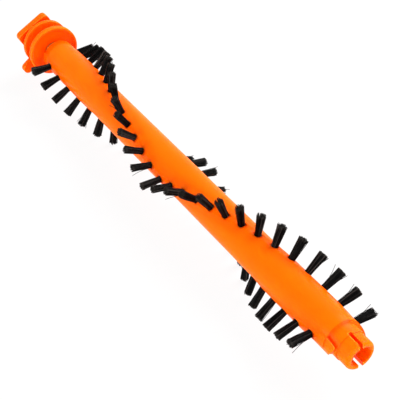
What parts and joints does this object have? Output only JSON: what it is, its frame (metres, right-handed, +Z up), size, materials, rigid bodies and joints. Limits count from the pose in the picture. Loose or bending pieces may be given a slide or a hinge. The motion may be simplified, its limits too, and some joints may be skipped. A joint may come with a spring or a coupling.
{
  "type": "vacuum brush roll",
  "caption": "Vacuum brush roll: moulded core with chevron rows of bristle tufts, a slotted drive stub and a square-ended cap that stays still on a bearing.",
  "frame": {"origin": "on the surface that the roll lies on, below the middle of its overall length and its axis", "axes": "+X along the roll's axis towards the drive end, +Z up, +Y across the roll"},
  "size_m": [0.2496, 0.0342, 0.034],
  "materials": {
    "orange_plastic": "semi-gloss moulded",
    "bristles": "satin nylon filaments",
    "steel": "ground",
    "spring_steel": "dark oiled",
    "bronze": "sintered",
    "white_nylon": "smooth"
  },
  "bodies": {
    "roller": {"roller_body": "orange_plastic", "tuft_anchors": "steel", "axle_pin": "steel", "thrust_washer": "white_nylon", "retaining_ring": "spring_steel", "tuft_r1_01": "bristles", "tuft_r1_02": "bristles", "tuft_r1_03": "bristles", "tuft_r1_04": "bristles", "tuft_r1_05": "bristles", "tuft_r1_06": "bristles", "tuft_r1_07": "bristles", "tuft_r1_08": "bristles", "tuft_r1_09": "bristles", "tuft_r1_10": "bristles", "tuft_r1_11": "bristles", "tuft_r1_12": "bristles", "tuft_r1_13": "bristles", "tuft_r1_14": "bristles", "tuft_r1_15": "bristles", "tuft_r1_16": "bristles", "tuft_r1_17": "bristles", "tuft_r1_18": "bristles", "tuft_r1_19": "bristles", "tuft_r1_20": "bristles", "tuft_r1_21": "bristles", "tuft_r1_22": "bristles", "tuft_r1_23": "bristles", "tuft_r1_24": "bristles", "tuft_r1_25": "bristles", "tuft_r1_26": "bristles", "tuft_r1_27": "bristles", "tuft_r2_01": "bristles", "tuft_r2_02": "bristles", "tuft_r2_03": "bristles", "tuft_r2_04": "bristles", "tuft_r2_05": "bristles", "tuft_r2_06": "bristles", "tuft_r2_07": "bristles", "tuft_r2_08": "bristles", "tuft_r2_09": "bristles", "tuft_r2_10": "bristles", "tuft_r2_11": "bristles", "tuft_r2_12": "bristles", "tuft_r2_13": "bristles", "tuft_r2_14": "bristles", "tuft_r2_15": "bristles", "tuft_r2_16": "bristles", "tuft_r2_17": "bristles", "tuft_r2_18": "bristles", "tuft_r2_19": "bristles", "tuft_r2_20": "bristles", "tuft_r2_21": "bristles", "tuft_r2_22": "bristles", "tuft_r2_23": "bristles", "tuft_r2_24": "bristles", "tuft_r2_25": "bristles", "tuft_r2_26": "bristles"},
    "end_cap": {"end_cap": "orange_plastic", "bearing_bush": "bronze"}
  },
  "joints": [
    {"name": "cap_turn", "type": "hinge", "parent": "roller", "child": "end_cap", "pos_m": [-0.112, 0, 0.017], "axis": [1, 0, 0], "continuous": true}
  ]
}
